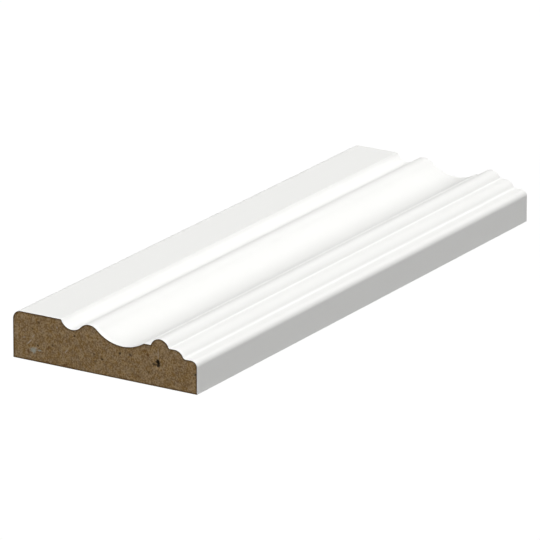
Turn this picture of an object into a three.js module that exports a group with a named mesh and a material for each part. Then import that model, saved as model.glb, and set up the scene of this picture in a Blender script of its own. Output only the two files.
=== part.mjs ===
// A square-cut length of moulded door casing, one solid piece of primed fibreboard.
//
// Sizes are in millimetres. X runs across the casing, from the thick outer edge to the thin edge
// beside the door opening. Y runs along its length, and Z points away from the wall. The origin
// is on the flat back, at the middle of the piece.
import * as THREE from 'three';

// The board that the casing is moulded from.
const WIDTH = 82.55;
const THICKNESS = 19.05;
const LENGTH = 250;

// The moulded face, in order from the thick outer edge to the thin edge. A distance across the
// face is measured from the outer edge, and a height from the flat back.
const OUTER_ROUND_RADIUS = 3.55;
const BAND_END = 21.85;
const SMALL_COVE_RADIUS = 5.3;
const BEAD_CENTRE = 34.45;
const BEAD_RADIUS = 5.15;
const WIDE_COVE_RADIUS = 17;
const WIDE_COVE_HEIGHT = 13.2;
const ASTRAGAL_CENTRE = 66.05;
const ASTRAGAL_RADIUS = 4.2;
const FILLET_HEIGHT = 16.1;
const QUARTER_ROUND_CENTRE = 72.6;
const QUARTER_ROUND_RADIUS = 4.2;
const LEDGE_HEIGHT = 13.1;
const THIN_EDGE_RADIUS = 2.45;

// How far a chord may stand off the arc that it follows, and the shortest side an outline keeps.
const CHORD_SAG = 0.004;
const SHORTEST_SIDE = 0.001;

const primer = new THREE.MeshStandardMaterial({ color: 0xf1f1ee, roughness: 0.5, metalness: 0 });

const point = (across, height) => new THREE.Vector2(across, height);

const circle = (across, height, radius) => ({ centre: point(across, height), radius });

// The point of a circle at an angle, counted from +X towards +Z.
function pointAt({ centre, radius }, angle) {
  return point(centre.x + radius * Math.cos(angle), centre.y + radius * Math.sin(angle));
}

// The angle at which a circle's centre sees a point, between -270 and +90 degrees for a cove,
// which hangs above the face, and between -90 and +270 degrees for a bead, which lies below it.
function angleOf({ centre }, target, isCove) {
  const angle = Math.atan2(target.y - centre.y, target.x - centre.x);
  if (isCove && angle > Math.PI / 2) return angle - 2 * Math.PI;
  if (!isCove && angle < -Math.PI / 2) return angle + 2 * Math.PI;
  return angle;
}

// The point of a circle at a height, on its left or its right.
function sideAtHeight({ centre, radius }, height, side) {
  return point(centre.x + side * Math.sqrt(radius ** 2 - (height - centre.y) ** 2), height);
}

// The upper of the two places for the centre of a circle of this radius, which passes through a
// point and touches a bead from outside.
function coveFromPointToBead(start, radius, bead) {
  const reach = radius + bead.radius;
  const span = start.distanceTo(bead.centre);
  const along = (radius ** 2 - reach ** 2 + span ** 2) / (2 * span);
  const rise = Math.sqrt(radius ** 2 - along ** 2);
  const direction = bead.centre.clone().sub(start).divideScalar(span);
  const upward = point(-direction.y, direction.x);
  const centre = start.clone().addScaledVector(direction, along).addScaledVector(upward, rise);
  return { centre, radius };
}

// The circle of a cove that touches a bead on the bead's right and leaves this height under it.
function coveBesideBead(bead, radius, height) {
  const reach = radius + bead.radius;
  const rise = height + radius - bead.centre.y;
  return circle(bead.centre.x + Math.sqrt(reach ** 2 - rise ** 2), height + radius, radius);
}

// The point where two circles that touch from outside meet.
function contact(first, second) {
  const share = first.radius / (first.radius + second.radius);
  return first.centre.clone().lerp(second.centre, share);
}

// Points along a circle between two of its points, close enough to keep within the chord sag.
function arc(round, start, end, isCove = false) {
  const from = angleOf(round, start, isCove);
  const sweep = angleOf(round, end, isCove) - from;
  const largestStep = 2 * Math.acos(1 - CHORD_SAG / round.radius);
  const steps = Math.ceil(Math.abs(sweep) / largestStep);
  return Array.from({ length: steps + 1 }, (_, i) => pointAt(round, from + (sweep * i) / steps));
}

// The section, from the foot of the outer edge up over the moulded face to the foot of the thin
// edge: a rounded corner, a flat band, a small cove, a bead and a wide cove that run into each
// other, then a fillet, an astragal, a quarter round, a ledge and the rounded thin edge.
function sectionOutline() {
  const outerRound = circle(OUTER_ROUND_RADIUS, THICKNESS - OUTER_ROUND_RADIUS, OUTER_ROUND_RADIUS);
  const bandEnd = point(BAND_END, THICKNESS);
  const bead = circle(BEAD_CENTRE, THICKNESS - BEAD_RADIUS, BEAD_RADIUS);
  const smallCove = coveFromPointToBead(bandEnd, SMALL_COVE_RADIUS, bead);
  const wideCove = coveBesideBead(bead, WIDE_COVE_RADIUS, WIDE_COVE_HEIGHT);
  const astragal = circle(ASTRAGAL_CENTRE, THICKNESS - ASTRAGAL_RADIUS, ASTRAGAL_RADIUS);
  const quarterRound = circle(
    QUARTER_ROUND_CENTRE,
    FILLET_HEIGHT - QUARTER_ROUND_RADIUS,
    QUARTER_ROUND_RADIUS,
  );
  const thinEdge = circle(WIDTH - THIN_EDGE_RADIUS, LEDGE_HEIGHT - THIN_EDGE_RADIUS, THIN_EDGE_RADIUS);

  const coveMeetsBead = contact(smallCove, bead);
  const beadMeetsCove = contact(bead, wideCove);
  const outline = [
    point(0, 0),
    ...arc(outerRound, point(0, outerRound.centre.y), point(outerRound.centre.x, THICKNESS)),
    bandEnd,
    ...arc(smallCove, bandEnd, coveMeetsBead, true),
    ...arc(bead, coveMeetsBead, beadMeetsCove),
    ...arc(wideCove, beadMeetsCove, sideAtHeight(wideCove, FILLET_HEIGHT, 1), true),
    ...arc(
      astragal,
      sideAtHeight(astragal, FILLET_HEIGHT, -1),
      sideAtHeight(astragal, FILLET_HEIGHT, 1),
    ),
    ...arc(
      quarterRound,
      point(QUARTER_ROUND_CENTRE, FILLET_HEIGHT),
      sideAtHeight(quarterRound, LEDGE_HEIGHT, 1),
    ),
    ...arc(thinEdge, point(thinEdge.centre.x, LEDGE_HEIGHT), point(WIDTH, thinEdge.centre.y)),
    point(WIDTH, 0),
  ];
  return outline.filter((p, i) => i === 0 || p.distanceTo(outline[i - 1]) > SHORTEST_SIDE);
}

// The casing is that section run along its length and cut square at both ends. The section is
// drawn upright in X and Y and run along Z, so the piece is tipped over onto its back.
function makeCasing() {
  const section = new THREE.Shape(sectionOutline());
  const geometry = new THREE.ExtrudeGeometry(section, { depth: LENGTH, bevelEnabled: false });
  const casing = new THREE.Mesh(geometry, primer);
  casing.name = 'casing';
  casing.rotation.x = Math.PI / 2;
  casing.position.set(-WIDTH / 2, LENGTH / 2, 0);
  return casing;
}

const part = new THREE.Group();
part.add(makeCasing());

export default part;
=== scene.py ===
"""A length of moulded door casing, dressed for a plain studio picture.

The casing is one moulding of medium-density fibreboard, primed white on its face and both edges.
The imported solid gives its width, thickness and length. This script draws its section from the
same arcs and flats and makes two pieces that fill the solid's box: the fibreboard core, whose
sawn ends have real relief, and the primer coat, a thin shell over the moulded face.

Lengths are in metres. In the section, a place is its distance across the face from the thick
outer edge and its height above the flat back.
"""

from __future__ import annotations

import logging
import math
from dataclasses import dataclass
from enum import Enum
from typing import Union

import bpy
import numpy as np
from mathutils import Matrix, Vector

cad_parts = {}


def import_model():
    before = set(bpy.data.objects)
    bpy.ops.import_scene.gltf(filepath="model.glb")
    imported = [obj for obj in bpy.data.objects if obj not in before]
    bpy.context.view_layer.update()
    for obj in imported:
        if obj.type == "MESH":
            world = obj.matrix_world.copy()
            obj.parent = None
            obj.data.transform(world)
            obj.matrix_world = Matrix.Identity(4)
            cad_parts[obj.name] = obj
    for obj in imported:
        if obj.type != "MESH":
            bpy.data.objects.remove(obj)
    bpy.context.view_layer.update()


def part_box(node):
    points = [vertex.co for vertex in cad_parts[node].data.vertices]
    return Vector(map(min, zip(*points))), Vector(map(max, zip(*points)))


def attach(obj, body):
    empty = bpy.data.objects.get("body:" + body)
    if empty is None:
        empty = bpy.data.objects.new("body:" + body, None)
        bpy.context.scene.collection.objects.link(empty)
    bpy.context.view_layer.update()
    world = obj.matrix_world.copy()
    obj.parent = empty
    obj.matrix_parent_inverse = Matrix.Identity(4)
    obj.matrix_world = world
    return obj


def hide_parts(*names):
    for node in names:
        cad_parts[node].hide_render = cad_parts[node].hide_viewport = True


MM = 0.001
SOLID = "casing"
BODY = "root"
CREASE_ANGLE = math.radians(28)

# The fewest points that an arc of the section gets.
LEAST_POINTS = 4

# Places closer together than this count as one.
TINY = 1e-7

# How many places are measured against the section's line at a time.
BATCH = 4096

# How far a mark's colour reaches into the board from the sawn end.
MARK_REACH = 1.5 * MM

Array = np.ndarray
Pair = tuple[float, float]
Triple = tuple[float, float, float]
Colour = Triple
Value = Union[float, Triple, bpy.types.NodeSocket]

log = logging.getLogger("casing")


class Slot(Enum):
    """The record's material slots for the primer and the fibreboard."""

    PRIMER = "white_primer"
    FIBREBOARD = "raw_fibreboard"


class Bend(Enum):
    """Which side of the moulded face the centre of an arc lies on."""

    ROUND = "inside the board"
    HOLLOW = "outside the board"


@dataclass(frozen=True)
class Arc:
    """A round or hollow stretch of the section, drawn across the face from left to right."""

    centre: Array
    radius: float
    bend: Bend

    def angle_of(self, point: Array) -> float:
        """Gives the angle at which the centre sees a point.

        A round's angles run from -90 to 270 degrees and a hollow's from -270 to 90 degrees, so
        that neither jumps along its own arc.

        Args:
            point: a place in the section.

        Returns:
            The angle in radians.
        """
        across, up = point - self.centre
        angle = math.atan2(up, across)
        if self.bend is Bend.HOLLOW and angle > math.pi / 2:
            return angle - 2 * math.pi
        if self.bend is Bend.ROUND and angle < -math.pi / 2:
            return angle + 2 * math.pi
        return angle

    def points(self, start: Array, end: Array, spacing: float) -> Array:
        """Gives evenly turned points from one place on the arc to another.

        A point is the centre plus the radius times the cosine and sine of its angle.

        Args:
            start: where the arc begins.
            end: where it ends.
            spacing: the largest distance between points.

        Returns:
            The points, one row each.
        """
        first, last = self.angle_of(start), self.angle_of(end)
        count = math.ceil(abs(last - first) * self.radius / spacing) + 1
        turn = np.linspace(first, last, max(count, LEAST_POINTS))
        return self.centre + self.radius * np.column_stack([np.cos(turn), np.sin(turn)])

    def side_at(self, height: float, side: int) -> Array:
        """Gives the point of the circle at a height, on its left (-1) or its right (1)."""
        reach = math.sqrt(self.radius**2 - (height - self.centre[1]) ** 2)
        return np.array([self.centre[0] + side * reach, height])


def round_under(across: float, top: float, radius: float) -> Arc:
    """Gives the round whose highest point lies at this place in the section."""
    return Arc(np.array([across, top - radius]), radius, Bend.ROUND)


def straight(start: Array, end: Array, spacing: float) -> Array:
    """Gives evenly spaced points from one place to another, both included."""
    count = math.ceil(float(np.linalg.norm(end - start)) / spacing) + 1
    return np.linspace(start, end, max(count, 2))


def contact(first: Arc, second: Arc) -> Array:
    """Gives the point where two circles that touch from outside meet."""
    share = first.radius / (first.radius + second.radius)
    return first.centre + share * (second.centre - first.centre)


def ease_corner(line: Array, corner: Array, reach: float, steps: int = 6) -> Array:
    """Rounds a corner of a line.

    What lies within the reach of the corner, measured along the line, gives way to the curve
    (1 - t)^2 first + 2 t (1 - t) corner + t^2 last, for t from 0 to 1.

    Args:
        line: the points, one row each.
        corner: the point of the line to round.
        reach: how far along the line the rounding goes to each side.
        steps: how many chords the curve gets.

    Returns:
        The line with the curve in it.
    """
    along = np.concatenate([[0.0], np.cumsum(np.linalg.norm(np.diff(line, axis=0), axis=1))])
    middle = along[np.argmin(np.linalg.norm(line - corner, axis=1))]
    ends = [middle - reach, middle + reach]
    first, last = np.column_stack([np.interp(ends, along, line[:, k]) for k in (0, 1)])
    t = np.linspace(0, 1, steps + 1)[:, None]
    curve = (1 - t) ** 2 * first + 2 * t * (1 - t) * corner + t**2 * last
    slack = reach / steps / 2
    return np.concatenate([line[along < ends[0] - slack], curve, line[along > ends[1] + slack]])


@dataclass(frozen=True)
class Section:
    """The section of the moulding, in order from the thick outer edge to the thin edge.

    A rounded corner leads to a flat band. Then come a small cove, a bead and a wide cove that
    run into each other, a fillet, an astragal, a quarter round, a ledge and the thin edge.
    """

    width: float
    thickness: float
    outer_round: float = 3.55 * MM
    band_end: float = 21.85 * MM
    small_cove: float = 5.3 * MM
    bead_centre: float = 34.45 * MM
    bead: float = 5.15 * MM
    wide_cove: float = 17.0 * MM
    wide_cove_height: float = 13.2 * MM
    astragal_centre: float = 66.05 * MM
    astragal: float = 4.2 * MM
    fillet_height: float = 16.1 * MM
    quarter_round_centre: float = 72.6 * MM
    quarter_round: float = 4.2 * MM
    ledge_height: float = 13.1 * MM
    thin_round: float = 2.45 * MM
    band_easing: float = 0.35 * MM
    crest_easing: float = 0.15 * MM
    quirk_easings: Triple = (0.2 * MM, 0.4 * MM, 0.9 * MM)
    # Painted highlight spots in hollow corners: where each sits and how strong it is.
    band_pool: Pair = (0.6 * MM, -1.2 * MM)
    pool_shares: Triple = (0.9, 0.3, 0.5)

    def bead_arc(self) -> Arc:
        """Gives the bead between the two coves, whose top is level with the band."""
        return round_under(self.bead_centre, self.thickness, self.bead)

    def small_cove_arc(self) -> Arc:
        """Gives the small cove, which starts at the end of the band and touches the bead.

        Its centre is one radius from the band's end and both radii from the bead's centre. Of
        the two such places it is the upper one.

        Returns:
            The cove's circle.
        """
        bead = self.bead_arc()
        start = np.array([self.band_end, self.thickness])
        reach = self.small_cove + bead.radius
        span = float(np.linalg.norm(bead.centre - start))
        along = (self.small_cove**2 - reach**2 + span**2) / (2 * span)
        rise = math.sqrt(self.small_cove**2 - along**2)
        direction = (bead.centre - start) / span
        upward = np.array([-direction[1], direction[0]])
        return Arc(start + along * direction + rise * upward, self.small_cove, Bend.HOLLOW)

    def wide_cove_arc(self) -> Arc:
        """Gives the wide cove, which touches the bead and keeps its least height over the back.

        Its centre is both radii from the bead's centre and one radius above the least height.

        Returns:
            The cove's circle.
        """
        bead = self.bead_arc()
        height = self.wide_cove_height + self.wide_cove
        reach = self.wide_cove + bead.radius
        across = bead.centre[0] + math.sqrt(reach**2 - (height - bead.centre[1]) ** 2)
        return Arc(np.array([across, height]), self.wide_cove, Bend.HOLLOW)

    def astragal_arc(self) -> Arc:
        """Gives the astragal, whose top is level with the band."""
        return round_under(self.astragal_centre, self.thickness, self.astragal)

    def quarter_round_arc(self) -> Arc:
        """Gives the quarter round, whose top is level with the fillet."""
        return round_under(self.quarter_round_centre, self.fillet_height, self.quarter_round)

    def quirks(self) -> tuple[Array, Array, Array]:
        """Gives the hollow corners, where one form of the moulding stands on another.

        Returns:
            The astragal's two feet and the quarter round's foot.
        """
        astragal = self.astragal_arc()
        return (
            astragal.side_at(self.fillet_height, -1),
            astragal.side_at(self.fillet_height, 1),
            self.quarter_round_arc().side_at(self.ledge_height, 1),
        )

    def pools(self) -> list[tuple[Array, float]]:
        """Gives where a painted highlight lightens the primer, and how much: under the band's edge
        and at two feet.
        """
        below_band = np.array([self.band_end, self.thickness]) + self.band_pool
        return list(zip([below_band, *self.quirks()[1:]], self.pool_shares))

    def face_line(self, spacing: float) -> Array:
        """Draws the moulded face between the tops of the two flat edges.

        Args:
            spacing: the largest distance between points.

        Returns:
            The points from the outer edge to the thin edge, with no two alike.
        """
        outer = round_under(self.outer_round, self.thickness, self.outer_round)
        cove, bead, wide = self.small_cove_arc(), self.bead_arc(), self.wide_cove_arc()
        astragal, quarter = self.astragal_arc(), self.quarter_round_arc()
        thin = round_under(self.width - self.thin_round, self.ledge_height, self.thin_round)

        band_start = np.array([self.outer_round, self.thickness])
        band_end = np.array([self.band_end, self.thickness])
        crest = wide.side_at(self.fillet_height, 1)
        astragal_left, astragal_right, quarter_foot = self.quirks()
        quarter_top = np.array([self.quarter_round_centre, self.fillet_height])
        ledge_end = np.array([thin.centre[0], self.ledge_height])
        strokes = [
            outer.points(np.array([0.0, outer.centre[1]]), band_start, spacing),
            straight(band_start, band_end, spacing),
            cove.points(band_end, contact(cove, bead), spacing),
            bead.points(contact(cove, bead), contact(bead, wide), spacing),
            wide.points(contact(bead, wide), crest, spacing),
            straight(crest, astragal_left, spacing),
            astragal.points(astragal_left, astragal_right, spacing),
            straight(astragal_right, quarter_top, spacing),
            quarter.points(quarter_top, quarter_foot, spacing),
            straight(quarter_foot, ledge_end, spacing),
            thin.points(ledge_end, np.array([self.width, thin.centre[1]]), spacing),
        ]
        line = np.concatenate([strokes[0], *[stroke[1:] for stroke in strokes[1:]]])
        corners = (band_end, crest, astragal_left, astragal_right, quarter_foot)
        easings = (self.band_easing, self.crest_easing, *self.quirk_easings)
        for corner, easing in zip(corners, easings):
            line = ease_corner(line, corner, easing)
        return line


def inset(line: Array, depth: float) -> Array:
    """Moves a line drawn from left to right over the board into the board.

    Each point moves against the mean of its neighbours' outward normals, lengthened at corners
    so that both sides move by the whole depth.

    Args:
        line: the points, one row each.
        depth: how far each side moves.

    Returns:
        The moved points.
    """
    along = np.diff(line, axis=0)
    along /= np.linalg.norm(along, axis=1, keepdims=True)
    normals = np.column_stack([-along[:, 1], along[:, 0]])
    before = np.vstack([normals[:1], normals])
    after = np.vstack([normals, normals[-1:]])
    lengthen = 1 + np.sum(before * after, axis=1, keepdims=True)
    return line - depth * (before + after) / lengthen


def outward_normals(line: Array) -> Array:
    """Gives the mitred outward normal at each point of a line drawn over the board."""
    return line - inset(line, 1.0)


def grid_quads(index: Array) -> Array:
    """Joins a grid of vertex numbers into quads, anticlockwise as rows go up and columns right."""
    corners = [index[:-1, :-1], index[:-1, 1:], index[1:, 1:], index[1:, :-1]]
    return np.stack(corners, axis=-1).reshape(-1, 4)


def smooth_noise(places: Array, longest: float, shortest: float, waves: int, seed: int) -> Array:
    """Works out a gently varying height over a surface.

    It is the sum of plane cosine waves whose lengths lie between the two given, each with a
    random direction and phase from the seed, divided by the square root of half their number.

    Args:
        places: places on the surface, two or three numbers each.
        longest: the longest wavelength.
        shortest: the shortest wavelength.
        waves: how many waves are added.
        seed: fixes the random draws.

    Returns:
        One height for each place, with a mean near 0 and a spread near 1.
    """
    draw = np.random.default_rng(seed)
    direction = draw.normal(size=(waves, places.shape[-1]))
    direction /= np.linalg.norm(direction, axis=1, keepdims=True)
    length = np.exp(draw.uniform(math.log(shortest), math.log(longest), waves))
    phase = draw.uniform(0, 2 * math.pi, waves)
    turns = places @ (direction * (2 * math.pi / length)[:, None]).T + phase
    return np.cos(turns).sum(axis=-1) / math.sqrt(waves / 2)


def make_piece(name: str, points: Array, quads: Array) -> bpy.types.Object:
    """Puts vertices and quads into a new mesh object at the origin.

    Args:
        name: the piece's name.
        points: vertex places, one row each.
        quads: four vertex numbers for each face.

    Returns:
        The object, smooth but for its creases, and linked to the scene.
    """
    mesh = bpy.data.meshes.new(name)
    mesh.vertices.add(len(points))
    mesh.vertices.foreach_set("co", points.astype(np.float32).ravel())
    mesh.loops.add(quads.size)
    mesh.loops.foreach_set("vertex_index", quads.astype(np.int32).ravel())
    mesh.polygons.add(len(quads))
    mesh.polygons.foreach_set("loop_start", np.arange(0, quads.size, 4, dtype=np.int32))
    mesh.update(calc_edges=True)
    mesh.validate()
    mesh.shade_smooth()
    mesh.set_sharp_from_angle(angle=CREASE_ANGLE)
    piece = bpy.data.objects.new(name, mesh)
    bpy.context.scene.collection.objects.link(piece)
    return piece


def store_mask(piece: bpy.types.Object, name: str, values: Array) -> None:
    """Stores one number for each vertex, which a material reads by the mask's name."""
    attribute = piece.data.attributes.new(name, "FLOAT", "POINT")
    attribute.data.foreach_set("value", values.astype(np.float32))


class Graph:
    """Short calls that place and join the nodes of one shader tree."""

    node_spacing = 180

    def __init__(self, tree: bpy.types.NodeTree) -> None:
        """Keeps the tree that the calls add to."""
        self.tree = tree

    def feed(self, socket: bpy.types.NodeSocket, value: Value) -> None:
        """Links a socket to another node's output, or sets its own value.

        Args:
            socket: a node's input.
            value: the output or the value that it takes.
        """
        if isinstance(value, bpy.types.NodeSocket):
            self.tree.links.new(value, socket)
        elif socket.type == "RGBA":
            socket.default_value = (*value, 1.0)
        else:
            socket.default_value = value

    def add(
        self, kind: str, inputs: dict[Union[str, int], Value] | None = None, **settings: object
    ) -> bpy.types.Node:
        """Adds a node.

        Args:
            kind: Blender's name for the node type.
            inputs: what each named or numbered input takes.
            settings: the node's own properties.

        Returns:
            The new node.
        """
        node = self.tree.nodes.new(kind)
        node.location = (self.node_spacing * len(self.tree.nodes), 0)
        for name, setting in settings.items():
            setattr(node, name, setting)
        for key, value in (inputs or {}).items():
            self.feed(node.inputs[key], value)
        return node

    def math(self, operation: str, *values: Value, clamp: bool = False) -> bpy.types.NodeSocket:
        """Adds a Math node and gives its result."""
        inputs = dict(enumerate(values))
        return self.add("ShaderNodeMath", inputs, operation=operation, use_clamp=clamp).outputs[0]

    def vector(self, operation: str, *values: Value) -> bpy.types.NodeSocket:
        """Adds a Vector Math node and gives its result, a number for a length."""
        node = self.add("ShaderNodeVectorMath", dict(enumerate(values)), operation=operation)
        return node.outputs["Value" if operation == "LENGTH" else "Vector"]

    def noise(
        self, place: Value, size: Value, detail: Value, strength: Value
    ) -> tuple[bpy.types.NodeSocket, bpy.types.NodeSocket]:
        """Adds cloudy noise.

        Args:
            place: where each point of the surface reads it.
            size: how large its forms are.
            detail: how many finer layers it has.
            strength: how far the change goes.

        Returns:
            The noise from 0 to 1, and the change: the noise less one half, times the strength.
        """
        scale = self.math("DIVIDE", 1.0, size)
        noise = self.add("ShaderNodeTexNoise", {"Vector": place, "Scale": scale, "Detail": detail})
        centred = self.math("SUBTRACT", noise.outputs[0], 0.5)
        return noise.outputs[0], self.math("MULTIPLY", centred, strength)

    def fade(self, value: Value, low: float, high: float) -> bpy.types.NodeSocket:
        """Adds a smooth step that goes from 0 at low to 1 at high."""
        inputs = {"Value": value, "From Min": low, "From Max": high}
        return self.add("ShaderNodeMapRange", inputs, interpolation_type="SMOOTHSTEP").outputs[0]

    def mask(self, name: str) -> bpy.types.NodeSocket:
        """Adds an Attribute node that reads a piece's own mask."""
        return self.add("ShaderNodeAttribute", attribute_name=name).outputs["Fac"]

    def tint(self, factor: Value, first: Value, second: Value) -> bpy.types.NodeSocket:
        """Adds a colour mix, which uses inputs 0, 6 and 7 and output 2 of the Mix node."""
        inputs = {0: factor, 6: first, 7: second}
        return self.add("ShaderNodeMix", inputs, data_type="RGBA", clamp_factor=True).outputs[2]

    def blend(self, factor: Value, first: bpy.types.Node, second: bpy.types.Node) -> bpy.types.Node:
        """Adds a shader mix that goes from the first shader to the second with the factor."""
        inputs = {0: factor, 1: first.outputs[0], 2: second.outputs[0]}
        return self.add("ShaderNodeMixShader", inputs)

    def ramp(self, value: Value, *tones: Colour) -> bpy.types.NodeSocket:
        """Adds a colour ramp with evenly spaced tones, the first at 0 and the last at 1.

        Args:
            value: what the ramp reads.
            tones: two colours or more.

        Returns:
            The ramp's colour.
        """
        node = self.add("ShaderNodeValToRGB", {0: value})
        steps = node.color_ramp.elements
        for number in range(1, len(tones) - 1):
            steps.new(number / (len(tones) - 1))
        for step, tone in zip(steps, tones):
            step.color = (*tone, 1.0)
        return node.outputs["Color"]

    def place(self, group: bpy.types.NodeTree, inputs: dict[str, Value]) -> bpy.types.NodeOutputs:
        """Places a node group with its own values and gives its outputs."""
        return self.add("ShaderNodeGroup", inputs, node_tree=group).outputs


def new_group(
    name: str, inputs: dict[str, Union[float, Triple]], outputs: tuple[str, ...]
) -> tuple[bpy.types.NodeTree, Graph, bpy.types.NodeOutputs, bpy.types.NodeInputs]:
    """Starts a shader node group with named sockets.

    Args:
        name: the group's name.
        inputs: the value that each input starts with, a number or a vector.
        outputs: the name of each output, a number.

    Returns:
        The group, a graph that adds to it, the values it is given and the results it puts out.
    """
    group = bpy.data.node_groups.new(name, "ShaderNodeTree")
    for label, value in inputs.items():
        kind = "NodeSocketVector" if isinstance(value, tuple) else "NodeSocketFloat"
        socket = group.interface.new_socket(label, in_out="INPUT", socket_type=kind)
        socket.default_value = value
    for label in outputs:
        group.interface.new_socket(label, in_out="OUTPUT", socket_type="NodeSocketFloat")
    graph = Graph(group)
    given, result = graph.add("NodeGroupInput").outputs, graph.add("NodeGroupOutput").inputs
    return group, graph, given, result


class Effects:
    """The node groups that the finishes share, each built once."""

    def __init__(self) -> None:
        """Builds every group."""
        self.grain = self._grain()
        self.spot = self._spot()
        self.back = self._back()

    @staticmethod
    def _grain() -> bpy.types.NodeTree:
        """Builds a grain: cloudy noise of a given size that can be drawn out along an axis.

        Returns:
            The group.
        """
        starts = {
            "Size": 1.0 * MM,
            "Draw": (1.0, 1.0, 1.0),
            "Shift": (0.0, 0.0, 0.0),
            "Detail": 2.0,
            "Strength": 1.0,
        }
        group, graph, given, result = new_group("Grain", starts, ("Change", "Level"))
        place = graph.add("ShaderNodeTexCoord").outputs["Object"]
        drawn = graph.vector("DIVIDE", place, given["Draw"])
        moved = graph.vector("ADD", drawn, given["Shift"])
        level, change = graph.noise(moved, given["Size"], given["Detail"], given["Strength"])
        graph.feed(result["Change"], change)
        graph.feed(result["Level"], level)
        return group

    @staticmethod
    def _spot() -> bpy.types.NodeTree:
        """Builds a spot: 1 within a ragged oval around a centre, fading to 0 outside it.

        The oval may be turned about Y, from +X towards +Z. The distance from the centre is
        measured in radii, with a little noise added, and a smooth step turns it into the mask.

        Returns:
            The group.
        """
        starts = {
            "Centre": (0.0, 0.0, 0.0),
            "Radii": (1.0 * MM, 1.0 * MM, 1.0 * MM),
            "Turn": 0.0,
            "Ragged": 1.4,
            "Ragged Size": 0.5 * MM,
            "Strength": 1.0,
        }
        group, graph, given, result = new_group("Spot", starts, ("Mask",))
        place = graph.add("ShaderNodeTexCoord").outputs["Object"]
        offset = graph.vector("SUBTRACT", place, given["Centre"])
        inputs = {"Vector": offset, "Angle": given["Turn"]}
        turned = graph.add("ShaderNodeVectorRotate", inputs, rotation_type="Y_AXIS")
        share = graph.vector("DIVIDE", turned.outputs[0], given["Radii"])
        radii = graph.vector("LENGTH", share)
        _, rag = graph.noise(place, given["Ragged Size"], detail=1.0, strength=given["Ragged"])
        outside, inside = 1.25, 0.55
        mask = graph.fade(graph.math("ADD", radii, rag), outside, inside)
        graph.feed(result["Mask"], graph.math("MULTIPLY", mask, given["Strength"]))
        return group

    @staticmethod
    def _back() -> bpy.types.NodeTree:
        """Builds the masks of a board's back: the whole back, and a margin along its long edges.

        The back is what lies under the ceiling. The margin fades inwards in a ragged line.

        Returns:
            The group.
        """
        starts = {
            "Half Width": 41.0 * MM,
            "Ceiling": 0.02 * MM,
            "Reach": 3.0 * MM,
            "Ragged": 2.0 * MM,
            "Ragged Size": 4.0 * MM,
        }
        group, graph, given, result = new_group("Back", starts, ("Back", "Margin"))
        place = graph.add("ShaderNodeTexCoord").outputs["Object"]
        parts = graph.add("ShaderNodeSeparateXYZ", {0: place}).outputs
        back = graph.math("LESS_THAN", parts["Z"], given["Ceiling"])
        room = graph.math("SUBTRACT", given["Half Width"], graph.math("ABSOLUTE", parts["X"]))
        _, rag = graph.noise(place, given["Ragged Size"], detail=4.0, strength=given["Ragged"])
        share = graph.math("DIVIDE", graph.math("ADD", room, rag), given["Reach"])
        outside, inside = 1.0, 0.35
        margin = graph.math("MULTIPLY", graph.fade(share, outside, inside), back)
        graph.feed(result["Back"], back)
        graph.feed(result["Margin"], margin)
        return group


@dataclass(frozen=True)
class Grain:
    """The values that one use of the grain group takes."""

    size: float
    draw: Triple = (1.0, 1.0, 1.0)
    shift: Triple = (0.0, 0.0, 0.0)
    detail: float = 2.0
    strength: float = 1.0

    def place(self, graph: Graph, effects: Effects) -> bpy.types.NodeOutputs:
        """Places the group with these values and gives its outputs."""
        return graph.place(effects.grain, {key.title(): value for key, value in vars(self).items()})


def blank_material(name: str) -> tuple[bpy.types.Material, Graph]:
    """Starts a node material that has no nodes.

    Args:
        name: the material's name.

    Returns:
        The material, and a graph that adds to it.
    """
    material = bpy.data.materials.new(name)
    material.use_nodes = True
    material.node_tree.nodes.clear()
    return material, Graph(material.node_tree)


def add_surface(graph: Graph, values: dict[str, Value], height: Value, depth: float) -> None:
    """Adds the Principled shader and joins it to the output.

    Args:
        graph: the material's graph.
        values: what the shader's named inputs take.
        height: the pattern of the bump.
        depth: how deep the bump is.
    """
    bump = graph.add("ShaderNodeBump", {"Strength": 1.0, "Distance": depth, "Height": height})
    shader = graph.add("ShaderNodeBsdfPrincipled", {**values, "Normal": bump.outputs[0]})
    graph.add("ShaderNodeOutputMaterial", {"Surface": shader.outputs[0]})


@dataclass(frozen=True)
class PrimerFinish:
    """The white primer: a smooth sprayed film with a faint satin and a faint orange peel."""

    colour: Colour = (0.862, 0.862, 0.845)
    shaded_colour: Colour = (0.850, 0.850, 0.832)
    # Painted highlight: the lighter colour that the "thick" mask lays in hollow corners and beside
    # the near cut end.
    thick_colour: Colour = (0.905, 0.905, 0.890)
    roughness: float = 0.55
    specular: float = 0.3
    cloud: Grain = Grain(14.0 * MM, draw=(1.0, 3.0, 1.0), strength=0.16)
    peel: Grain = Grain(1.3 * MM, detail=1.0)
    peel_height: float = 0.002 * MM

    def material(self, effects: Effects) -> bpy.types.Material:
        """Makes the material.

        Slow clouds move the colour and the roughness a little, the orange peel is a bump, and
        the piece's own mask paints a highlight: lighter primer in hollow corners and beside the
        near cut end.

        Args:
            effects: the shared node groups.

        Returns:
            The finished material.
        """
        material, graph = blank_material("White primer")
        cloud, peel = (grain.place(graph, effects) for grain in (self.cloud, self.peel))
        colour = graph.tint(cloud["Level"], self.colour, self.shaded_colour)
        values = {
            # The "thick" mask is a painted highlight that lightens the primer in hollow corners and
            # beside the near cut end.
            "Base Color": graph.tint(graph.mask("thick"), colour, self.thick_colour),
            "Roughness": graph.math("ADD", cloud["Change"], self.roughness),
            "Specular IOR Level": self.specular,
        }
        add_surface(graph, values, peel["Level"], self.peel_height)
        return material


class Tone(Enum):
    """What a mark on the sawn end is made of, with its colour."""

    # The pit colour is near black: partly the board's own dark specks, partly painted shade that
    # stands in for the shadow inside each pit's dent.
    PIT = (0.045, 0.031, 0.016)
    KNOT = (0.190, 0.090, 0.026)
    SMUDGE = (0.600, 0.630, 0.560)
    FIBRE = (0.640, 0.520, 0.400)


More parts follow.
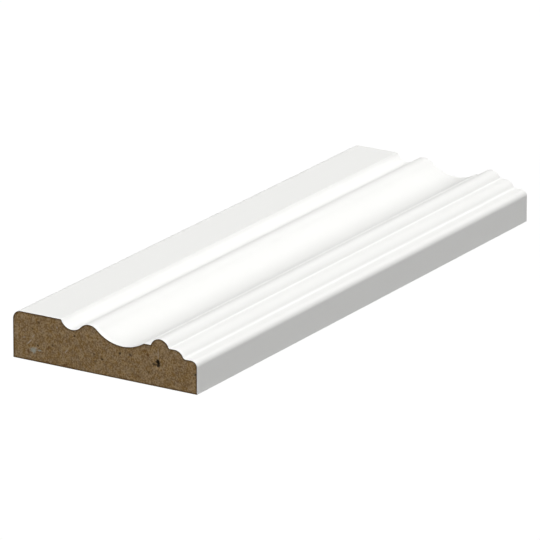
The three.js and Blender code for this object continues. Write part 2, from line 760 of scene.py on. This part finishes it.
@dataclass(frozen=True)
class Mark:
    """A mark on the near sawn end: an oval in the section, with a colour and sometimes a dent.

    Places, radii and the dent's depth are in millimetres, the turn is in degrees from +X towards
    +Z, and the strength is how much of the tone shows.
    """

    across: float
    height: float
    half_width: float
    half_height: float
    turn: float
    tone: Tone
    strength: float
    depth: float = 0.0

    def dent(self, places: Array) -> Array:
        """Works out how deep the mark goes.

        The depth is multiplied by exp(-r^4), where r is the distance from the centre in radii.

        Args:
            places: places in the section.

        Returns:
            The depth at each place.
        """
        turn = math.radians(self.turn)
        away = places / MM - [self.across, self.height]
        along = away[..., 0] * math.cos(turn) + away[..., 1] * math.sin(turn)
        over = away[..., 1] * math.cos(turn) - away[..., 0] * math.sin(turn)
        radii = (along / self.half_width) ** 2 + (over / self.half_height) ** 2
        return self.depth * MM * np.exp(-(radii**2))

    def place(self, graph: Graph, effects: Effects, board: Board) -> bpy.types.NodeSocket:
        """Places the spot group with this mark's values.

        Args:
            graph: the material's graph.
            effects: the shared node groups.
            board: what the piece is built to.

        Returns:
            The mask of the mark.
        """
        across = self.across * MM - board.section.width / 2
        values = {
            "Centre": (across, -board.length / 2, self.height * MM),
            "Radii": (self.half_width * MM, MARK_REACH, self.half_height * MM),
            "Turn": math.radians(self.turn),
            "Strength": self.strength,
        }
        return graph.place(effects.spot, values)["Mask"]


# The dark pit marks carry painted shade along with their dents.
NEAR_END_MARKS = (
    Mark(65.0, 9.70, 0.84, 1.00, 4.0, Tone.PIT, 1.00, 0.50),
    Mark(65.2, 8.50, 0.88, 1.00, 4.0, Tone.PIT, 1.00, 0.50),
    Mark(63.5, 8.60, 0.90, 0.60, 10.0, Tone.PIT, 0.75, 0.10),
    Mark(48.2, 10.15, 0.50, 0.66, 0.0, Tone.PIT, 0.80, 0.12),
    Mark(52.9, 10.20, 0.66, 0.46, -15.0, Tone.PIT, 0.66, 0.08),
    Mark(40.2, 6.25, 0.56, 0.46, 0.0, Tone.PIT, 0.78, 0.12),
    Mark(27.8, 13.25, 0.50, 0.44, 0.0, Tone.PIT, 0.72, 0.12),
    Mark(11.2, 6.45, 0.52, 0.44, 20.0, Tone.PIT, 0.72, 0.10),
    Mark(11.7, 15.90, 0.80, 0.40, -25.0, Tone.PIT, 0.45),
    Mark(81.8, 7.80, 0.75, 0.48, 15.0, Tone.PIT, 0.80, 0.08),
    Mark(17.9, 7.80, 0.42, 0.55, 0.0, Tone.PIT, 0.50),
    Mark(36.6, 7.80, 0.60, 0.42, -20.0, Tone.PIT, 0.50),
    Mark(37.3, 5.00, 0.80, 0.40, 10.0, Tone.PIT, 0.40),
    Mark(8.9, 13.00, 0.55, 0.42, 0.0, Tone.PIT, 0.45),
    Mark(16.2, 6.70, 0.55, 0.60, 0.0, Tone.KNOT, 0.80),
    Mark(60.6, 11.75, 0.90, 0.60, -25.0, Tone.KNOT, 0.80, 0.04),
    Mark(59.1, 13.30, 1.10, 0.60, 10.0, Tone.KNOT, 0.55),
    Mark(56.4, 2.70, 0.65, 0.60, 0.0, Tone.KNOT, 0.65),
    Mark(73.9, 3.70, 0.65, 0.60, 0.0, Tone.KNOT, 0.60),
    Mark(6.9, 3.60, 0.50, 1.00, 0.0, Tone.KNOT, 0.75),
    Mark(61.0, 5.00, 0.65, 0.60, 0.0, Tone.PIT, 0.35),
    Mark(23.6, 1.00, 1.00, 0.55, 10.0, Tone.KNOT, 0.85),
    Mark(15.6, 0.60, 0.90, 0.45, 0.0, Tone.KNOT, 0.70),
    Mark(9.2, 4.60, 1.60, 0.95, 15.0, Tone.SMUDGE, 0.62),
    Mark(9.4, 3.90, 0.75, 1.00, 0.0, Tone.SMUDGE, 0.45),
    Mark(10.5, 5.30, 0.42, 0.70, -20.0, Tone.FIBRE, 0.55),
    Mark(11.9, 4.70, 0.85, 0.34, 10.0, Tone.SMUDGE, 0.60),
    Mark(7.4, 7.40, 1.75, 0.20, 48.0, Tone.FIBRE, 1.00),
    Mark(9.3, 10.10, 1.05, 0.22, 50.0, Tone.FIBRE, 0.65),
    Mark(5.1, 8.90, 0.80, 0.32, 20.0, Tone.FIBRE, 0.60),
    Mark(24.1, 6.60, 1.05, 0.25, 45.0, Tone.FIBRE, 0.70),
    Mark(65.4, 13.20, 0.38, 2.40, 2.0, Tone.FIBRE, 0.40),
    Mark(20.0, 15.40, 0.40, 0.60, 0.0, Tone.FIBRE, 0.60),
    Mark(73.2, 14.40, 0.50, 0.45, 0.0, Tone.FIBRE, 0.50),
)


@dataclass(frozen=True)
class FibreboardFinish:
    """Bare fibreboard: brown, mottled by its fibres, matt, darker where the cutter burnished it."""

    dark_colour: Colour = (0.190, 0.094, 0.020)
    colour: Colour = (0.403, 0.264, 0.125)
    pale_colour: Colour = (0.690, 0.502, 0.302)
    warm_colour: Colour = (0.420, 0.254, 0.086)
    grey_colour: Colour = (0.386, 0.274, 0.164)
    edge_colour: Colour = (0.090, 0.045, 0.008)
    sanded_colour: Colour = (0.520, 0.385, 0.235)
    overspray_colour: Colour = (0.780, 0.775, 0.745)
    roughness: float = 0.92
    specular: float = 0.15
    fine: Grain = Grain(0.6 * MM, draw=(1.0, 1.0, 1.1), detail=1.0, strength=3.7)
    clump: Grain = Grain(3.6 * MM, shift=(0.02, 0.01, 0.03), strength=1.3)
    hue: Grain = Grain(2.2 * MM, shift=(0.07, 0.03, 0.05), detail=3.0)
    hue_range: Pair = (0.25, 0.75)
    hue_share: float = 0.55
    scratches: Grain = Grain(0.7 * MM, draw=(1.0, 60.0, 1.0), detail=3.0, strength=1.6)
    sanded_share: float = 0.5
    tooth: float = 0.02 * MM

    def material(self, effects: Effects, board: Board) -> bpy.types.Material:
        """Makes the material from the grain group at several sizes and the near end's marks.

        The fine grain and a little of the clumps, each less its mean, add up to the step from
        the dark to the pale colour. A slower grain turns the hue from grey to warm.

        Args:
            effects: the shared node groups.
            board: what the piece is built to.

        Returns:
            The finished material.
        """
        material, graph = blank_material("Raw fibreboard")
        grains = (self.fine, self.clump, self.hue)
        fine, clump, hue = (grain.place(graph, effects) for grain in grains)
        step = graph.math("ADD", graph.math("ADD", fine["Change"], clump["Change"]), 0.5)
        colour = graph.ramp(step, self.dark_colour, self.colour, self.pale_colour)
        hue_step = graph.fade(hue["Level"], *self.hue_range)
        hue_colour = graph.tint(hue_step, self.grey_colour, self.warm_colour)
        colour = graph.tint(self.hue_share, colour, hue_colour)
        colour = graph.tint(graph.mask("edge"), colour, self.edge_colour)
        colour = self.sand_the_back(graph, effects, board, colour)
        for mark in NEAR_END_MARKS:
            colour = graph.tint(mark.place(graph, effects, board), colour, mark.tone.value)
        values = {
            "Base Color": colour,
            "Roughness": self.roughness,
            "Specular IOR Level": self.specular,
        }
        add_surface(graph, values, fine["Level"], self.tooth)
        return material

    def sand_the_back(
        self, graph: Graph, effects: Effects, board: Board, colour: bpy.types.NodeSocket
    ) -> bpy.types.NodeSocket:
        """Makes the back paler and scratched along its length, with overspray at its edges.

        Args:
            graph: the material's graph.
            effects: the shared node groups.
            board: what the piece is built to.
            colour: the bare fibreboard's colour.

        Returns:
            The colour with the back's finish over it.
        """
        half_width = board.section.width / 2 - board.film
        masks = graph.place(effects.back, {"Half Width": half_width})
        scratches = self.scratches.place(graph, effects)["Change"]
        sanded = graph.math("ADD", self.sanded_share, scratches, clamp=True)
        sanded = graph.math("MULTIPLY", sanded, masks["Back"])
        colour = graph.tint(sanded, colour, self.sanded_colour)
        return graph.tint(masks["Margin"], colour, self.overspray_colour)


@dataclass(frozen=True)
class Board:
    """What every piece is built to: the section, the length, and the primer's thickness."""

    section: Section
    length: float
    film: float = 0.06 * MM

    def over_the_face(self, spacing: float) -> Array:
        """Draws the section from the foot of the outer edge to the foot of the thin edge.

        Args:
            spacing: the largest distance between points.

        Returns:
            The points, one row each.
        """
        face = self.section.face_line(spacing)
        outer_edge = straight(np.zeros(2), face[0], spacing)
        thin_edge = straight(face[-1], np.array([self.section.width, 0.0]), spacing)
        return np.concatenate([outer_edge[:-1], face, thin_edge[1:]])

    def in_space(self, section_points: Array, along: Array) -> Array:
        """Sets section points in the part's frame.

        X is the distance across less half the width, Y the place along the length, and Z the
        height.

        Args:
            section_points: places in the section, in any arrangement.
            along: the place along the length of each.

        Returns:
            Three numbers for each point.
        """
        across, height = section_points[..., 0], section_points[..., 1]
        parts = np.broadcast_arrays(across - self.section.width / 2, along, height)
        return np.stack(parts, axis=-1)


@dataclass
class PrimerCoat:
    """The primer: a closed shell over the face and both edges, eased where the saw cut it."""

    board: Board
    name: str = "primer_coat"
    spacing: float = 0.32 * MM
    station_step: float = 4.0 * MM
    arris: float = 0.05 * MM
    arris_steps: int = 4
    # Painted highlight: the rim beside the near cut end, and the reach of each hollow corner's
    # spot, where the primer is drawn lighter.
    lip: Pair = (1.1 * MM, 2.3 * MM)
    lip_points: int = 8
    pool: Pair = (0.4 * MM, 1.3 * MM)
    ripple: float = 0.002 * MM
    ripple_lengths: Pair = (40.0 * MM, 9.0 * MM)
    ripple_waves: int = 24
    seed: int = 11

    def stations(self) -> tuple[Array, Array]:
        """Places the stations along the length.

        At each end they follow a quarter circle, along which the film loses the arris radius
        times one less the sine of the angle from the end. Close ones follow over the rim where
        the painted highlight at the near end fades out.

        Returns:
            The stations' places from the near end to the far end, and the film lost at each.
        """
        half = self.board.length / 2
        turn = np.linspace(0, math.pi / 2, self.arris_steps + 1)
        rise = self.arris * (1 - np.cos(turn))
        lost = self.arris * (1 - np.sin(turn))
        lip = np.linspace(self.arris, self.lip[1], self.lip_points)
        near = np.concatenate([rise, lip[1:]])
        room = half - self.lip[1]
        middle = straight(np.array([-room]), np.array([room]), self.station_step)[1:-1, 0]
        places = np.concatenate([-half + near, middle, half - near[::-1]])
        kept = np.zeros(len(places) - 2 * len(lost))
        return places, np.concatenate([lost, kept, lost[::-1]])

    def thick_share(self, line: Array, along: Array) -> Array:
        """Works out the painted highlight, beside the near saw cut and in hollow corners.

        A share is whole up to the first of a pair of distances and falls to nothing in a
        straight line at the second. The largest share counts.

        Args:
            line: the section's line.
            along: places along the length.

        Returns:
            The shares, in a row for each place along the length.
        """
        first, last = self.lip
        lip = np.clip((last - self.board.length / 2 - along) / (last - first), 0, 1)
        first, last = self.pool
        pools = [
            share * np.clip((last - np.linalg.norm(line - place, axis=1)) / (last - first), 0, 1)
            for place, share in self.board.section.pools()
        ]
        return np.maximum(lip[:, None], np.max(pools, axis=0)[None])

    def build(self) -> bpy.types.Object:
        """Builds the shell as one closed ring carried along the length.

        The ring is the section's line, then the same line moved in by the film's thickness and
        drawn backwards. A faint ripple makes the film thinner by its height times one and half
        the noise, kept between 0 and 2.

        Returns:
            The finished piece.
        """
        board = self.board
        line = board.over_the_face(self.spacing)
        normals = outward_normals(line)
        inner = inset(line, board.film)
        along, lost = self.stations()
        outer_places = board.in_space(line[None], along[:, None])
        ripple = smooth_noise(outer_places, *self.ripple_lengths, self.ripple_waves, self.seed)
        sunk = lost[:, None] + self.ripple * np.clip(1 + ripple / 2, 0, 2)
        outer = line[None] - sunk[..., None] * normals[None]
        ring = np.concatenate([outer, np.broadcast_to(inner[::-1], outer.shape)], axis=1)
        points = board.in_space(ring, along[:, None])

        index = np.arange(ring.shape[0] * ring.shape[1]).reshape(ring.shape[:2])
        around = np.concatenate([index, index[:, :1]], axis=1)
        near = np.stack([index[0, len(line) :][::-1], index[0, : len(line)]])
        far = np.stack([index[-1, : len(line)], index[-1, len(line) :][::-1]])
        quads = np.concatenate([grid_quads(around), grid_quads(near), grid_quads(far)])
        piece = make_piece(self.name, points.reshape(-1, 3), quads)
        both_sides = np.concatenate([line, line[::-1]])
        # The "thick" mask is a painted highlight in hollow corners and beside the near cut end.
        store_mask(piece, "thick", self.thick_share(both_sides, along).ravel())
        return piece


@dataclass
class FibreboardCore:
    """The board under the primer, with sawn ends and a flat bare back."""

    board: Board
    name: str = "fibreboard_core"
    spacing: float = 0.25 * MM
    rows: int = 70
    stations: int = 9
    shoulder: float = 0.4 * MM
    edge_band: float = 0.95 * MM
    burnish_power: float = 1.2
    saw_depth: float = 0.012 * MM
    saw_lengths: Pair = (3.0 * MM, 0.6 * MM)
    saw_waves: int = 60
    seed: int = 5

    def outline(self) -> Array:
        """Draws the section's line under the primer, from one foot to the other."""
        return inset(self.board.over_the_face(self.spacing), self.board.film)

    def end_grid(self) -> Array:
        """Fills the section under the primer with a grid.

        Columns stand on the back under the points of the moulded face and of its two edges'
        tops, and a row is the same share of each column's height.

        Returns:
            Places in the section, in rows from the back up and columns from the outer edge.
        """
        line = self.outline()
        low, high = self.board.film + TINY, self.board.section.width - self.board.film - TINY
        between = np.flatnonzero((line[:, 0] > low) & (line[:, 0] < high))
        top = line[between[0] - 1 : between[-1] + 2]
        share = np.linspace(0, 1, self.rows)[:, None]
        across = np.broadcast_to(top[:, 0], (self.rows, len(top)))
        return np.stack([across, share * top[:, 1]], axis=-1)

    def relief(self, places: Array, marks: tuple[Mark, ...], seed: int) -> Array:
        """Works out how far a sawn end lies below its plane.

        It is the saw's depth times one and the noise, never less than 0, and every mark's dent.

        Args:
            places: places in the section.
            marks: the dents in this end.
            seed: fixes the fuzz of torn fibres.

        Returns:
            The depth at each place, never negative.
        """
        fuzz = smooth_noise(places, *self.saw_lengths, self.saw_waves, seed)
        depth = self.saw_depth * np.clip(fuzz + 1, 0, None)
        for mark in marks:
            depth = depth + mark.dent(places)
        return depth

    def build(self) -> bpy.types.Object:
        """Builds the core as two end grids joined by rings along the length.

        A ring's points go in a straight line from the near end's rim to the far end's. The first
        and the last ring stand a shoulder's length from the ends.

        Returns:
            The finished piece, with the mask of its burnished edge on its vertices.
        """
        board = self.board
        half = board.length / 2
        grid = self.end_grid()
        rows, columns = grid.shape[:2]
        near_depth = self.relief(grid, NEAR_END_MARKS, self.seed)
        far_depth = self.relief(grid, (), self.seed + 1)
        near = board.in_space(grid, -half + near_depth)
        far = board.in_space(grid, half - far_depth)

        index = np.arange(rows * columns).reshape(rows, columns)
        rim = np.concatenate([index[:, 0], index[-1, 1:], index[-2::-1, -1], index[0, -2:0:-1]])
        shoulder = self.shoulder / board.length
        share = np.linspace(shoulder, 1 - shoulder, self.stations)
        near_rim, far_rim = near.reshape(-1, 3)[rim], far.reshape(-1, 3)[rim]
        rings = near_rim + share[:, None, None] * (far_rim - near_rim)
        ring_start = 2 * rows * columns
        ring_index = ring_start + np.arange(rings.shape[0] * len(rim)).reshape(-1, len(rim))
        tube = np.vstack([rim, ring_index, rim + rows * columns])
        tube = np.hstack([tube, tube[:, :1]])
        points = np.concatenate([near.reshape(-1, 3), far.reshape(-1, 3), rings.reshape(-1, 3)])
        far_quads = grid_quads(index + rows * columns)[:, ::-1]
        quads = np.concatenate([grid_quads(index), far_quads, grid_quads(tube)])
        piece = make_piece(self.name, points, quads)
        edge = self.edge_share(grid)
        store_mask(piece, "edge", np.concatenate([edge, edge, np.zeros(len(points) - ring_start)]))
        return piece

    def edge_share(self, grid: Array) -> Array:
        """Works out how burnished each place of a sawn end is.

        With a as the distance from the section's edge and b as the width of the burnished
        band, it is 1 - a / b to the burnish power, and 0 outside the band.

        Args:
            grid: the end grid.

        Returns:
            One share for each place of the grid, in a row.
        """
        line = self.outline()
        flat = grid.reshape(-1, 2)
        away = flat[:, 1].copy()
        for start in range(0, len(flat), BATCH):
            part = slice(start, start + BATCH)
            gap = np.linalg.norm(flat[part, None] - line[None], axis=-1).min(axis=1)
            away[part] = np.minimum(gap, away[part])
        return np.clip(1 - away / self.edge_band, 0, 1) ** self.burnish_power


@dataclass(frozen=True)
class PhotoCamera:
    """The photograph's viewpoint, found from the casing's corners and long edges.

    Azimuth 0 looks along +Y and turns towards -X, the elevation is above the horizon, and the
    roll turns the camera's right side up.
    """

    azimuth: float = math.radians(31.5425)
    elevation: float = math.radians(18.2942)
    roll: float = math.radians(0.16335)
    lens: float = 459.266
    sensor: float = 36.0
    clip_start: float = 0.1
    place: Triple = (1.337989, -2.185546, 0.854220)

    def add(self) -> bpy.types.Object:
        """Adds the camera and makes it the scene's own.

        Returns:
            The camera's object.
        """
        data = bpy.data.cameras.new("photo_camera")
        data.lens = self.lens
        data.sensor_width = self.sensor
        data.clip_start = self.clip_start
        camera = bpy.data.objects.new("photo_camera", data)
        stance = Matrix.Translation(self.place)
        tilt = math.pi / 2 - self.elevation
        for angle, axis in ((self.azimuth, "Z"), (tilt, "X"), (self.roll, "Z")):
            stance = stance @ Matrix.Rotation(angle, 4, axis)
        camera.matrix_world = stance
        bpy.context.scene.collection.objects.link(camera)
        bpy.context.scene.camera = camera
        return camera


@dataclass(frozen=True)
class Lamp:
    """A soft light from far away: where it comes from and how wide, in degrees, and how strong."""

    name: str
    lean: float
    swing: float
    width: float
    strength: float

    def add(self) -> bpy.types.Object:
        """Adds the light.

        Its direction leans from straight overhead towards +X, and swings from there towards
        the near end.

        Returns:
            The light's object.
        """
        data = bpy.data.lights.new(self.name, "SUN")
        data.energy = self.strength
        data.angle = math.radians(self.width)
        lamp = bpy.data.objects.new(self.name, data)
        lamp.rotation_euler = (0.0, math.radians(self.lean), -math.radians(self.swing))
        bpy.context.scene.collection.objects.link(lamp)
        return lamp


@dataclass
class Studio:
    """The plain white floor, the soft lights and the even surround."""

    lamps: tuple[Lamp, ...] = (
        Lamp("key", 20.0, 60.0, 30.0, 2.12),
        Lamp("side", 56.0, 0.0, 40.0, 0.90),
        Lamp("back", 60.0, -90.0, 40.0, 0.83),
        Lamp("fill", -75.0, 0.0, 40.0, 0.28),
        Lamp("below", 180.0, 0.0, 60.0, 2.00),
    )
    surround: float = 0.1
    floor_size: float = 30.0
    floor_gap: float = 0.02 * MM
    floor_lap: float = 0.1 * MM
    floor_seen: float = 1.02
    floor_bounce: float = 0.25

    def add_floor(self, width: float, length: float) -> bpy.types.Object:
        """Adds the floor, a hair under the casing, with an opening that the casing covers.

        To the camera it is a lit white sheet, and it bounces little light itself. It can be seen
        through from below, and the opening lets the lamp from below light the casing's back.

        Args:
            width: the casing's width.
            length: the casing's length.

        Returns:
            The floor's object.
        """
        corners = np.array([[-0.5, -0.5], [0.5, -0.5], [0.5, 0.5], [-0.5, 0.5]])
        opening = corners * (np.array([width, length]) - 2 * self.floor_lap)
        flat = np.concatenate([corners * self.floor_size, opening])
        points = np.column_stack([flat, np.full(len(flat), -self.floor_gap)])
        quads = np.array([[0, 1, 5, 4], [1, 2, 6, 5], [2, 3, 7, 6], [3, 0, 4, 7]])
        floor = make_piece("floor", points, quads)
        material, graph = blank_material("White floor")
        seen = graph.add("ShaderNodeLightPath").outputs["Is Camera Ray"]
        under = graph.add("ShaderNodeNewGeometry").outputs["Backfacing"]
        paper = graph.add("ShaderNodeBsdfDiffuse", {"Color": (self.floor_bounce,) * 3})
        sheet = graph.add("ShaderNodeEmission", {"Strength": self.floor_seen})
        clear = graph.add("ShaderNodeBsdfTransparent")
        surface = graph.blend(under, graph.blend(seen, paper, sheet), clear)
        graph.add("ShaderNodeOutputMaterial", {"Surface": surface.outputs[0]})
        floor.data.materials.append(material)
        return floor

    def add_surround(self) -> None:
        """Sets the even light that comes from every side."""
        world = bpy.data.worlds.new("surround")
        world.use_nodes = True
        background = world.node_tree.nodes["Background"]
        background.inputs["Color"].default_value = (1.0, 1.0, 1.0, 1.0)
        background.inputs["Strength"].default_value = self.surround
        bpy.context.scene.world = world

    def build(self, width: float, length: float) -> None:
        """Adds the floor, the surround and every lamp, and keeps colours as they are lit.

        Args:
            width: the casing's width.
            length: the casing's length.
        """
        self.add_floor(width, length)
        self.add_surround()
        for lamp in self.lamps:
            lamp.add()
        bpy.context.scene.view_settings.view_transform = "Standard"


def frame_size() -> Triple:
    """Reads the casing's width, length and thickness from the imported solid."""
    low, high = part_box(SOLID)
    return tuple(high - low)


def dress(piece: bpy.types.Object, material: bpy.types.Material) -> None:
    """Gives a piece its material and makes it ride on the casing's body.

    Args:
        piece: the finished piece.
        material: its material.
    """
    piece.data.materials.append(material)
    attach(piece, BODY)
    log.info("%s: %d faces", piece.name, len(piece.data.polygons))


def main() -> None:
    """Builds the casing and the studio, in order."""
    logging.basicConfig(level=logging.INFO, format="%(name)s: %(message)s")
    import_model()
    width, length, thickness = frame_size()
    PhotoCamera().add()
    Studio().build(width, length)

    board = Board(Section(width, thickness), length)
    effects = Effects()
    core = FibreboardCore(board).build()
    dress(core, FibreboardFinish().material(effects, board))
    coat = PrimerCoat(board).build()
    dress(coat, PrimerFinish().material(effects))
    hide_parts(SOLID)
    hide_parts(SOLID)


if __name__ == "__main__":
    main()
